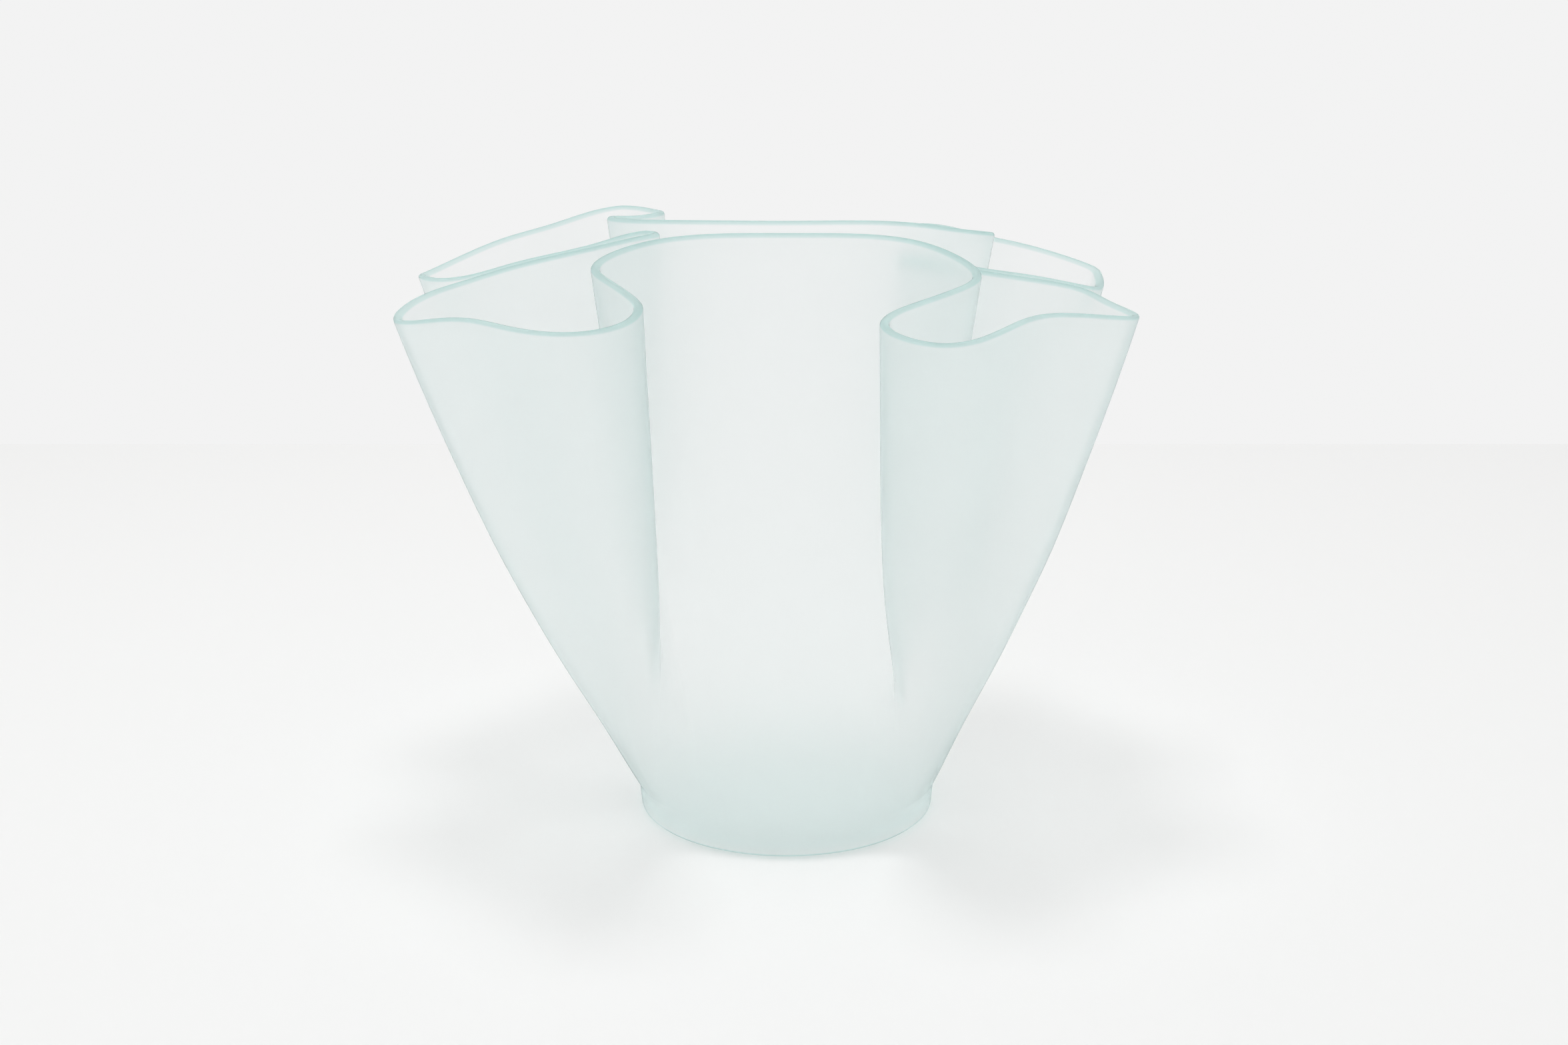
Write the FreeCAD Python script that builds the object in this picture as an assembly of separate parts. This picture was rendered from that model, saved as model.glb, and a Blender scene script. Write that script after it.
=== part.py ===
import FreeCAD, Part
import math
import os

# Fan vase: one sheet of frosted glass, slumped into four deep lobes over a round foot.
# Millimetres, +Z up, origin at the centre of the face it rests on, front faces -Y.

# Driving sizes
rim_half_span = 169.0
rim_half_depth = 134.0
rim_height = 276.0
foot_radius = 70.0
foot_height = 12.0
foot_taper = 1.2
glass_thickness = 4.0
floor_thickness = 6.0
floor_arris = 0.8
belly_width = 4.0

# How the wall is drawn
bow_share = 0.28
belly_power = 5
level_shares = (0.0, 0.05, 0.11, 0.18, 0.27, 0.38, 0.5, 0.64, 0.78, 0.9, 1.0)
columns_per_row = 3
easing_passes = 450
easing_power = 6
easing_rounds = 2
quarters = 4

# Rim rows run from the middle of a panel to the end of a side valley. Each row is
# (x share of rim_half_span, y share of rim_half_depth, z share of rim_height,
#  quarter-turn share at which the same strip of glass leaves the foot).
panel_middle_shares = (0.0, 0.104, 1.0, 0.0)
left_rim_shares = (
    (-0.176, 0.112, 1.000, 0.150),
    (-0.335, 0.164, 0.996, 0.267),
    (-0.447, 0.284, 0.987, 0.349),
    (-0.485, 0.425, 0.978, 0.402),
    (-0.435, 0.545, 0.967, 0.456),
    (-0.386, 0.657, 0.960, 0.512),
    (-0.362, 0.761, 0.955, 0.558),
    (-0.392, 0.903, 0.946, 0.600),
    (-0.500, 1.000, 0.942, 0.638),
    (-0.676, 0.806, 0.928, 0.703),
    (-0.829, 0.590, 0.917, 0.751),
    (-0.988, 0.381, 0.889, 0.805),
    (-1.000, 0.276, 0.893, 0.822),
    (-0.941, 0.112, 0.904, 0.850),
    (-0.841, 0.037, 0.918, 0.870),
    (-0.706, 0.026, 0.942, 0.900),
    (-0.518, 0.026, 0.969, 0.930),
    (-0.388, 0.042, 0.989, 0.962),
)
left_valley_end_shares = (-0.347, 0.0, 0.991, 1.0)
front_right_rim_shares = (
    (0.176, 0.112, 1.000, 0.120),
    (0.335, 0.149, 0.993, 0.217),
    (0.447, 0.239, 0.975, 0.286),
    (0.488, 0.328, 0.960, 0.332),
    (0.447, 0.440, 0.951, 0.378),
    (0.329, 0.575, 0.940, 0.428),
    (0.241, 0.724, 0.931, 0.472),
    (0.271, 0.858, 0.922, 0.516),
    (0.388, 0.933, 0.917, 0.560),
    (0.541, 0.716, 0.917, 0.636),
    (0.676, 0.522, 0.916, 0.699),
    (0.876, 0.396, 0.897, 0.776),
    (0.893, 0.299, 0.893, 0.800),
    (0.845, 0.112, 0.891, 0.838),
    (0.785, 0.030, 0.902, 0.865),
    (0.653, 0.026, 0.918, 0.900),
    (0.500, 0.026, 0.932, 0.930),
    (0.347, 0.042, 0.947, 0.962),
)
back_right_rim_shares = (
    (0.176, 0.112, 1.000, 0.135),
    (0.335, 0.149, 0.993, 0.244),
    (0.476, 0.224, 0.975, 0.324),
    (0.559, 0.306, 0.962, 0.375),
    (0.518, 0.425, 0.951, 0.424),
    (0.400, 0.575, 0.938, 0.477),
    (0.321, 0.724, 0.931, 0.524),
    (0.335, 0.851, 0.922, 0.566),
    (0.424, 0.925, 0.917, 0.604),
    (0.559, 0.724, 0.917, 0.670),
    (0.694, 0.522, 0.916, 0.724),
    (0.841, 0.396, 0.897, 0.788),
    (0.859, 0.313, 0.893, 0.810),
    (0.841, 0.112, 0.891, 0.842),
    (0.785, 0.030, 0.902, 0.867),
    (0.653, 0.026, 0.918, 0.900),
    (0.500, 0.026, 0.932, 0.930),
    (0.347, 0.042, 0.947, 0.962),
)
right_valley_end_shares = (0.306, 0.0, 0.949, 1.0)


def placed_rows(rows, y_side, start, way):
    """Rim points of one quarter, each with the quarter turns at which its strip leaves the foot."""
    result = []
    for x_share, y_share, z_share, turn_share in rows:
        x = x_share * rim_half_span
        y = y_side * y_share * rim_half_depth
        result.append((FreeCAD.Vector(x, y, z_share * rim_height), start + way * turn_share))
    return result


def rim_rows():
    """All rim rows once round the vase, from the front panel's middle towards -X."""
    front_left = (panel_middle_shares,) + left_rim_shares
    back_left = (left_valley_end_shares,) + left_rim_shares[::-1]
    back_right = (panel_middle_shares,) + back_right_rim_shares
    front_right = (right_valley_end_shares,) + front_right_rim_shares[::-1]
    rows = placed_rows(front_left, -1, 0, 1)
    rows += placed_rows(back_left, 1, quarters / 2, -1)
    rows += placed_rows(back_right, 1, quarters / 2, 1)
    rows += placed_rows(front_right, -1, quarters, -1)
    return rows


def knots_of(points):
    """Centripetal knots of a closed run of points."""
    knots = [0.0]
    for here, there in zip(points, points[1:] + points[:1]):
        knots.append(knots[-1] + math.sqrt(here.distanceToPoint(there)))
    return knots


def foot_point(turns):
    """A point on the foot's middle circle, by quarter turns from the front towards -X."""
    angle = -math.tau * (turns + 1) / quarters
    radius = foot_radius - glass_thickness / 2
    return FreeCAD.Vector(radius * math.cos(angle), radius * math.sin(angle), foot_height)


def wall_strips():
    """Where each strip of glass leaves the foot, and how far it reaches from there to the rim."""
    rows = rim_rows()
    points = [point for point, _ in rows]
    turns = [turn for _, turn in rows] + [quarters]
    knots = knots_of(points)
    rim = Part.BSplineCurve()
    rim.interpolate(Points=points, Parameters=knots, PeriodicFlag=True)
    feet = []
    reaches = []
    for index in range(len(points)):
        for step in range(columns_per_row):
            share = step / columns_per_row
            foot = foot_point(turns[index] * (1 - share) + turns[index + 1] * share)
            feet.append(foot)
            reaches.append(rim.value(knots[index] * (1 - share) + knots[index + 1] * share) - foot)
    return feet, reaches


def eased(reaches):
    """Each reach drawn towards those on either side of it."""
    count = len(reaches)
    result = []
    for index in range(count):
        beside = (reaches[index - 1] + reaches[(index + 1) % count]) / 2
        result.append((reaches[index] + beside) / 2)
    return result


def softened(reaches, passes):
    """Reaches without their tight folds: eased, then what is left eased and added, a few times."""
    result = [reach * 0 for reach in reaches]
    left = reaches
    for _ in range(easing_rounds):
        smooth = left
        for _ in range(passes):
            smooth = eased(smooth)
        result = [kept + added for kept, added in zip(result, smooth)]
        left = [whole - taken for whole, taken in zip(left, smooth)]
    return result


def belly_at(level):
    """How far the wall swells out at one level, at its most a little above the foot."""
    fullest = 1 / (1 + belly_power)
    most = fullest * (1 - fullest) ** belly_power
    return belly_width * level * (1 - level) ** belly_power / most


def middle_section(feet, reaches, level):
    """The sheet's middle line at one level, bowed outwards, with softer folds near the foot."""
    reaches = softened(reaches, round(easing_passes * (1 - level) ** easing_power))
    out = level * (1 + bow_share * (1 - level))
    points = []
    for foot, reach in zip(feet, reaches):
        swell = FreeCAD.Vector(foot.x, foot.y, 0.0).normalize() * belly_at(level)
        points.append(foot + swell + FreeCAD.Vector(reach.x * out, reach.y * out, reach.z * level))
    return points


def face_section(points, side):
    """The section moved half the glass thickness to one side of the middle surface."""
    count = len(points)
    moved = []
    for index in range(count):
        along = points[(index + 1) % count] - points[index - 1]
        across = FreeCAD.Vector(along.y, -along.x, 0.0)
        across.normalize()
        moved.append(points[index] + across * side * glass_thickness / 2)
    return moved


def section_wire(points):
    curve = Part.BSplineCurve()
    curve.interpolate(Points=points, PeriodicFlag=True)
    return Part.Wire([curve.toShape()])


def wall_sections(side):
    """Level sections of the wall's outer face (side -1) or inner face (side 1)."""
    feet, reaches = wall_strips()
    wires = []
    for level in level_shares:
        middle = middle_section(feet, reaches, level)
        wires.append(section_wire(face_section(middle, side)))
    return wires


def fluted_wall():
    """The lobed glass wall: two lofted faces closed by the rim and by its flat lower edge."""
    outer = wall_sections(-1)
    inner = wall_sections(1)
    faces = [Part.makeLoft(wires, False, False).Faces[0] for wires in (outer, inner)]
    faces.append(Part.makeRuledSurface(outer[-1].Edges[0], inner[-1].Edges[0]))
    low_hole = inner[0].copy()
    low_hole.reverse()
    faces.append(Part.Face([outer[0], low_hole]))
    shell = Part.Compound(faces)
    shell.sewShape()
    solid = Part.Solid(shell.Shells[0])
    if solid.Volume < 0:
        solid.reverse()
    return solid


def turned(outline):
    """A body of revolution about Z from points given as (radius, height)."""
    corners = [FreeCAD.Vector(radius, 0.0, height) for radius, height in outline]
    face = Part.Face(Part.makePolygon(corners + corners[:1]))
    return face.revolve(FreeCAD.Vector(0, 0, 0), FreeCAD.Vector(0, 0, 1), math.degrees(math.tau))


def foot_radius_at(height):
    """The foot's outer radius, which grows a little from the floor up to the wall."""
    return foot_radius - foot_taper * (1 - height / foot_height)


def foot_collar():
    """The short upright ring that the wall stands on."""
    inside = foot_radius - glass_thickness
    return turned([
        (inside, floor_thickness),
        (foot_radius_at(floor_thickness), floor_thickness),
        (foot_radius_at(foot_height), foot_height),
        (inside, foot_height),
    ])


def base_disc():
    """The ground glass floor that closes the foot, with a small arris all round."""
    return turned([
        (0.0, 0.0),
        (foot_radius_at(0.0) - floor_arris, 0.0),
        (foot_radius_at(floor_arris), floor_arris),
        (foot_radius_at(floor_thickness), floor_thickness),
        (0.0, floor_thickness),
    ])


def write(name, shape):
    shape.exportStep("parts/" + name + ".step")
    print(name, "valid", shape.isValid(), "solids", len(shape.Solids), "volume", round(shape.Volume))


os.makedirs("parts", exist_ok=True)
write("fluted_wall", fluted_wall())
write("foot_collar", foot_collar())
write("base_disc", base_disc())
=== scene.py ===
import math
import bpy
import numpy as np
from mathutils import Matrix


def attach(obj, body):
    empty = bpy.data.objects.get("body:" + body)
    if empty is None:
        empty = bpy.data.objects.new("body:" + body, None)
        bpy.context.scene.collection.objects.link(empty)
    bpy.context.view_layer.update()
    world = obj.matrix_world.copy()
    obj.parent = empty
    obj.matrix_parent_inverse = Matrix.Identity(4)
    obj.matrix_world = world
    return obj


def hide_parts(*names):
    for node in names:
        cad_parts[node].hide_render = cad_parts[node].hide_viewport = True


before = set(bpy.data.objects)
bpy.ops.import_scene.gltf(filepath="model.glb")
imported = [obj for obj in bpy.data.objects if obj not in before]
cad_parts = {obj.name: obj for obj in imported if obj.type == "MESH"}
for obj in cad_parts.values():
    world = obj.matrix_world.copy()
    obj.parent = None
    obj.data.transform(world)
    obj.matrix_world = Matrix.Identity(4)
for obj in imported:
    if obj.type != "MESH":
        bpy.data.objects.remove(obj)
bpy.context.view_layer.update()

# Metres, +Z up, front faces -Y, as in the frame.
# The three solids of glass touch, and light would bend where they meet,
# so they are shown as one closed skin, finer than the construction's.

# The vase's driving sizes, the same as the construction's
rim_half_span = 0.169
rim_half_depth = 0.134
rim_height = 0.276
foot_radius = 0.070
foot_height = 0.012
foot_taper = 0.0012
glass_thickness = 0.004
floor_thickness = 0.006
floor_arris = 0.0008
belly_width = 0.004
belly_power = 5
bow_share = 0.28
easing_passes = 450
easing_power = 6
easing_rounds = 2
columns_per_row = 3
quarters = 4
collar_middle = foot_radius - glass_thickness / 2

# (x share, y share, z share, quarter-turn share at the foot), from a panel's middle to a valley
panel_middle = [(0.0, 0.104, 1.0, 0.0)]
left_rim = [
    (-0.176, 0.112, 1.000, 0.150), (-0.335, 0.164, 0.996, 0.267), (-0.447, 0.284, 0.987, 0.349),
    (-0.485, 0.425, 0.978, 0.402), (-0.435, 0.545, 0.967, 0.456), (-0.386, 0.657, 0.960, 0.512),
    (-0.362, 0.761, 0.955, 0.558), (-0.392, 0.903, 0.946, 0.600), (-0.500, 1.000, 0.942, 0.638),
    (-0.676, 0.806, 0.928, 0.703), (-0.829, 0.590, 0.917, 0.751), (-0.988, 0.381, 0.889, 0.805),
    (-1.000, 0.276, 0.893, 0.822), (-0.941, 0.112, 0.904, 0.850), (-0.841, 0.037, 0.918, 0.870),
    (-0.706, 0.026, 0.942, 0.900), (-0.518, 0.026, 0.969, 0.930), (-0.388, 0.042, 0.989, 0.962),
]
left_valley_end = [(-0.347, 0.0, 0.991, 1.0)]
front_right_rim = [
    (0.176, 0.112, 1.000, 0.120), (0.335, 0.149, 0.993, 0.217), (0.447, 0.239, 0.975, 0.286),
    (0.488, 0.328, 0.960, 0.332), (0.447, 0.440, 0.951, 0.378), (0.329, 0.575, 0.940, 0.428),
    (0.241, 0.724, 0.931, 0.472), (0.271, 0.858, 0.922, 0.516), (0.388, 0.933, 0.917, 0.560),
    (0.541, 0.716, 0.917, 0.636), (0.676, 0.522, 0.916, 0.699), (0.876, 0.396, 0.897, 0.776),
    (0.893, 0.299, 0.893, 0.800), (0.845, 0.112, 0.891, 0.838), (0.785, 0.030, 0.902, 0.865),
    (0.653, 0.026, 0.918, 0.900), (0.500, 0.026, 0.932, 0.930), (0.347, 0.042, 0.947, 0.962),
]
back_right_rim = [
    (0.176, 0.112, 1.000, 0.135), (0.335, 0.149, 0.993, 0.244), (0.476, 0.224, 0.975, 0.324),
    (0.559, 0.306, 0.962, 0.375), (0.518, 0.425, 0.951, 0.424), (0.400, 0.575, 0.938, 0.477),
    (0.321, 0.724, 0.931, 0.524), (0.335, 0.851, 0.922, 0.566), (0.424, 0.925, 0.917, 0.604),
    (0.559, 0.724, 0.917, 0.670), (0.694, 0.522, 0.916, 0.724), (0.841, 0.396, 0.897, 0.788),
    (0.859, 0.313, 0.893, 0.810), (0.841, 0.112, 0.891, 0.842), (0.785, 0.030, 0.902, 0.867),
    (0.653, 0.026, 0.918, 0.900), (0.500, 0.026, 0.932, 0.930), (0.347, 0.042, 0.947, 0.962),
]
right_valley_end = [(0.306, 0.0, 0.949, 1.0)]

# The skin's rings and columns
fine_columns = 3
wall_steps = 90
lip_steps = 7
fillet_steps = 3
well_fillet = 0.0015
flat_shares = (0.015, 0.3, 0.57, 0.8, 0.965)
collar_shares = (0.12, 0.25, 0.5, 0.75)
mean_rim_share = 0.94
sharp_angle = 32

# Frosted glass: rough on both faces, faintly teal within, with a deeper teal shade painted on its
# ground edges in place of the light that reaches them end-on through the sheet
face_colour = (0.985, 0.985, 0.985, 1)
# Painted shade: the deeper teal painted on the ground edges
painted_edge_shade_colour = (0.66, 0.84, 0.82, 1)
glass_roughness = 0.75
glass_ior = 1.22
depth_colour = (0.25, 0.70, 0.6625, 1)
depth_density = 7
sheets_seen_through = 32

# Studio
sky_colour = (1, 1, 1, 1)
sky_strength = 0.895
floor_colour = (0.88, 0.88, 0.875, 1)
floor_roughness = 0.9
floor_gloss = 0.1
floor_half_width = 5
floor_front = -4
floor_back = 0.617
floor_gap = 0.0005
lamp_place = (-0.1, 0.0, 1.4)
lamp_size = 0.3
lamp_power = 3.3
camera_place = (-0.0012, -1.165, 0.507)
camera_tilt = 72.4
camera_lens = 60.66
camera_film = 36


def placed(rows, y_side, start, way):
    """Rim points of one quarter and the quarter turns at which their strips leave the foot."""
    rows = np.array(rows)
    points = rows[:, :3] * (rim_half_span, y_side * rim_half_depth, rim_height)
    return points, start + way * rows[:, 3]


def spline_through(knots, points, values):
    """A closed cubic spline through the points, worked out at the given knot values."""
    n = len(points)
    gaps = np.diff(knots)
    left = np.zeros((n, n))
    right = np.zeros((n, points.shape[1]))
    for i in range(n):
        before = gaps[i - 1]
        after = gaps[i]
        rise = (points[(i + 1) % n] - points[i]) / after
        left[i, i - 1] += before
        left[i, i] += 2 * (before + after)
        left[i, (i + 1) % n] += after
        right[i] = 6 * (rise - (points[i] - points[i - 1]) / before)
    bend = np.linalg.solve(left, right)
    i = np.clip(np.searchsorted(knots, values, side="right") - 1, 0, n - 1)
    j = (i + 1) % n
    gap = gaps[i][:, None]
    past = (values - knots[i])[:, None]
    ahead = gap - past
    return (
        (bend[i] * ahead ** 3 + bend[j] * past ** 3) / (6 * gap)
        + (points[i] / gap - bend[i] * gap / 6) * ahead
        + (points[j] / gap - bend[j] * gap / 6) * past
    )


def wall_strips():
    """Where each strip of glass leaves the foot, and how far it reaches from there to the rim."""
    runs = [
        placed(panel_middle + left_rim, -1, 0, 1),
        placed(left_valley_end + left_rim[::-1], 1, quarters / 2, -1),
        placed(panel_middle + back_right_rim, 1, quarters / 2, 1),
        placed(right_valley_end + front_right_rim[::-1], -1, quarters, -1),
    ]
    points = np.concatenate([run[0] for run in runs])
    turns = np.append(np.concatenate([run[1] for run in runs]), quarters)
    gaps = np.linalg.norm(np.roll(points, -1, axis=0) - points, axis=1)
    knots = np.append(0, np.cumsum(np.sqrt(gaps)))
    rows = np.arange(len(knots))
    columns = np.arange(len(points) * columns_per_row) / columns_per_row
    rim = spline_through(knots, points, np.interp(columns, rows, knots))
    angle = -math.tau * (np.interp(columns, rows, turns) + 1) / quarters
    x = collar_middle * np.cos(angle)
    y = collar_middle * np.sin(angle)
    foot = np.stack([x, y, np.full(len(x), foot_height)], axis=1)
    return foot, rim - foot


feet, reaches = wall_strips()
strip_count = len(feet)
reach_waves = np.fft.rfft(reaches, axis=0)
wave_ease = np.cos(math.pi * np.arange(len(reach_waves)) / strip_count) ** 2
foot_out = feet * (1, 1, 0) / collar_middle


def belly_at(level):
    """How far the wall swells out at one level, at its most a little above the foot."""
    fullest = 1 / (1 + belly_power)
    most = fullest * (1 - fullest) ** belly_power
    return belly_width * level * (1 - level) ** belly_power / most


def middle_line(level):
    """The sheet's middle line at one level, bowed outwards, with softer folds near the foot."""
    once = wave_ease ** (easing_passes * (1 - level) ** easing_power)
    kept = 1 - (1 - once) ** easing_rounds
    reach = np.fft.irfft(reach_waves * kept[:, None], strip_count, axis=0)
    out = level * (1 + bow_share * (1 - level))
    line = feet + foot_out * belly_at(level) + reach * (out, out, level)
    fine = np.arange(strip_count * fine_columns) / fine_columns
    return spline_through(np.arange(strip_count + 1.0), line, fine)


def ring_beside(level, offset):
    """The middle line moved sideways, outwards for a positive offset."""
    line = middle_line(level)
    along = np.roll(line, -1, axis=0) - np.roll(line, 1, axis=0)
    across = np.stack([-along[:, 1], along[:, 0], along[:, 0] * 0], axis=1)
    across /= np.linalg.norm(across, axis=1)[:, None]
    return line + across * offset


def foot_ring(radius, height):
    """A level circle with its points under the wall's columns."""
    ring = middle_line(0.0) * (1, 1, 0)
    ring *= radius / np.linalg.norm(ring, axis=1)[:, None]
    ring[:, 2] = height
    return ring


def foot_radius_at(height):
    """The foot's outer radius, which grows a little from the floor up to the wall."""
    return foot_radius - foot_taper * (1 - height / foot_height)


def foot_rings():
    """The underside from its middle outwards, the arris and the collar's outside."""
    rings = [foot_ring(foot_radius * share, 0.0) for share in flat_shares]
    rings.append(foot_ring(foot_radius_at(0.0) - floor_arris, 0.0))
    rings.append(foot_ring(foot_radius_at(floor_arris), floor_arris))
    for share in collar_shares:
        rings.append(foot_ring(foot_radius_at(foot_height * share), foot_height * share))
    return rings


def wall_rings():
    """The wall's outer face, its rounded lip and its inner face, and the lip's ring numbers."""
    half = glass_thickness / 2
    lip = half / (rim_height * mean_rim_share)
    levels = [step / wall_steps * (1 - lip) for step in range(wall_steps + 1)]
    outer = [ring_beside(level, half) for level in levels]
    over = []
    for step in range(1, lip_steps + 1):
        angle = math.pi * step / (lip_steps + 1)
        over.append(ring_beside(1 - lip * (1 - math.sin(angle)), half * math.cos(angle)))
    inner = [ring_beside(level, -half) for level in levels[::-1]]
    return outer + over + inner, range(len(outer), len(outer) + len(over))


def well_rings():
    """The collar's inside, the small fillet at its bottom and the floor's upper face."""
    inside = foot_radius - glass_thickness
    rings = []
    for step in range(fillet_steps + 1):
        angle = math.pi / 2 * step / fillet_steps
        radius = inside - well_fillet * (1 - math.cos(angle))
        rings.append(foot_ring(radius, floor_thickness + well_fillet * (1 - math.sin(angle))))
    rings += [foot_ring(inside * share, floor_thickness) for share in flat_shares[::-1]]
    return rings


def skin_mesh(name, rings):
    """A closed skin through the rings, capped at the first and the last."""
    n = len(rings[0])
    faces = [tuple(range(n))]
    for low in range(0, (len(rings) - 1) * n, n):
        for c in range(n):
            d = (c + 1) % n
            faces.append((low + c, low + n + c, low + n + d, low + d))
    last = (len(rings) - 1) * n
    faces.append(tuple(range(last + n - 1, last - 1, -1)))
    mesh = bpy.data.meshes.new(name)
    mesh.from_pydata(np.concatenate(rings).tolist(), [], faces)
    mesh.shade_smooth()
    mesh.set_sharp_from_angle(angle=math.radians(sharp_angle))
    return mesh


def paint_edge_shade(mesh, ring_size, painted_shade_rings):
    """Painted shade: the ground edges are painted a deeper teal, standing in for the light that
    comes to them through the whole sheet.
    """
    colours = np.tile(face_colour, (len(mesh.vertices), 1))
    for ring in painted_shade_rings:
        colours[ring * ring_size:(ring + 1) * ring_size] = painted_edge_shade_colour
    painted_shade_layer = mesh.color_attributes.new("painted_edge_shade", "FLOAT_COLOR", "POINT")
    painted_shade_layer.data.foreach_set("color", colours.ravel())


def glass_material():
    """Rough clear glass that takes its colour from the painted edge shade and from its depth."""
    mat = bpy.data.materials.new("frosted_glass")
    mat.use_nodes = True
    nodes = mat.node_tree.nodes
    links = mat.node_tree.links
    shader = nodes["Principled BSDF"]
    shader.inputs["Roughness"].default_value = glass_roughness
    shader.inputs["IOR"].default_value = glass_ior
    shader.inputs["Transmission Weight"].default_value = 1.0
    shader.inputs["Base Color"].default_value = face_colour
    # The vertex colour carries the painted edge shade into the base colour
    painted_shade_layer = nodes.new("ShaderNodeVertexColor")
    painted_shade_layer.layer_name = "painted_edge_shade"
    links.new(painted_shade_layer.outputs["Color"], shader.inputs["Base Color"])
    depth = nodes.new("ShaderNodeVolumeAbsorption")
    depth.inputs["Color"].default_value = depth_colour
    depth.inputs["Density"].default_value = depth_density
    links.new(depth.outputs["Volume"], nodes["Material Output"].inputs["Volume"])
    return mat


def floor_material():
    mat = bpy.data.materials.new("floor_paper")
    mat.use_nodes = True
    shader = mat.node_tree.nodes["Principled BSDF"]
    shader.inputs["Base Color"].default_value = floor_colour
    shader.inputs["Roughness"].default_value = floor_roughness
    shader.inputs["Specular IOR Level"].default_value = floor_gloss
    return mat


def added(name, data):
    obj = bpy.data.objects.new(name, data)
    bpy.context.scene.collection.objects.link(obj)
    return obj


def vase():
    """The whole vase as one closed skin, in place of the three solids."""
    wall, lip = wall_rings()
    below = foot_rings()
    arris = [len(flat_shares), len(flat_shares) + 1]
    mesh = skin_mesh("vase_glass", below + wall + well_rings())
    # The arris and the lip rings get the painted edge shade
    paint_edge_shade(mesh, len(wall[0]), arris + [len(below) + ring for ring in lip])
    mesh.materials.append(glass_material())
    obj = added("vase_glass", mesh)
    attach(obj, "root")
    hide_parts("fluted_wall", "foot_collar", "base_disc")


def studio_floor():
    """A pale floor that ends behind the vase, where the photo shows a faint line."""
    corners = []
    for x, y in ((-1, floor_front), (1, floor_front), (1, floor_back), (-1, floor_back)):
        corners.append((x * floor_half_width, y, -floor_gap))
    mesh = bpy.data.meshes.new("studio_floor")
    mesh.from_pydata(corners, [], [(0, 1, 2, 3)])
    mesh.materials.append(floor_material())
    added("studio_floor", mesh)


def studio_light():
    """An even white sky all round and one soft lamp overhead, a little to the left."""
    world = bpy.data.worlds.new("studio")
    world.use_nodes = True
    bpy.context.scene.world = world
    sky = world.node_tree.nodes["Background"]
    sky.inputs["Color"].default_value = sky_colour
    sky.inputs["Strength"].default_value = sky_strength
    lamp = bpy.data.lights.new("overhead_lamp", "AREA")
    lamp.shape = "SQUARE"
    lamp.size = lamp_size
    lamp.energy = lamp_power
    obj = added("overhead_lamp", lamp)
    obj.location = lamp_place


def photo_camera():
    """The photograph's view, a little from above."""
    camera = bpy.data.cameras.new("photo_camera")
    camera.sensor_width = camera_film
    camera.lens = camera_lens
    obj = added("photo_camera", camera)
    obj.location = camera_place
    obj.rotation_euler = (math.radians(camera_tilt), 0, 0)
    bpy.context.scene.camera = obj


vase()
studio_floor()
studio_light()
photo_camera()
scene = bpy.context.scene
scene.view_settings.view_transform = "Standard"
scene.cycles.max_bounces = sheets_seen_through
scene.cycles.transmission_bounces = sheets_seen_through
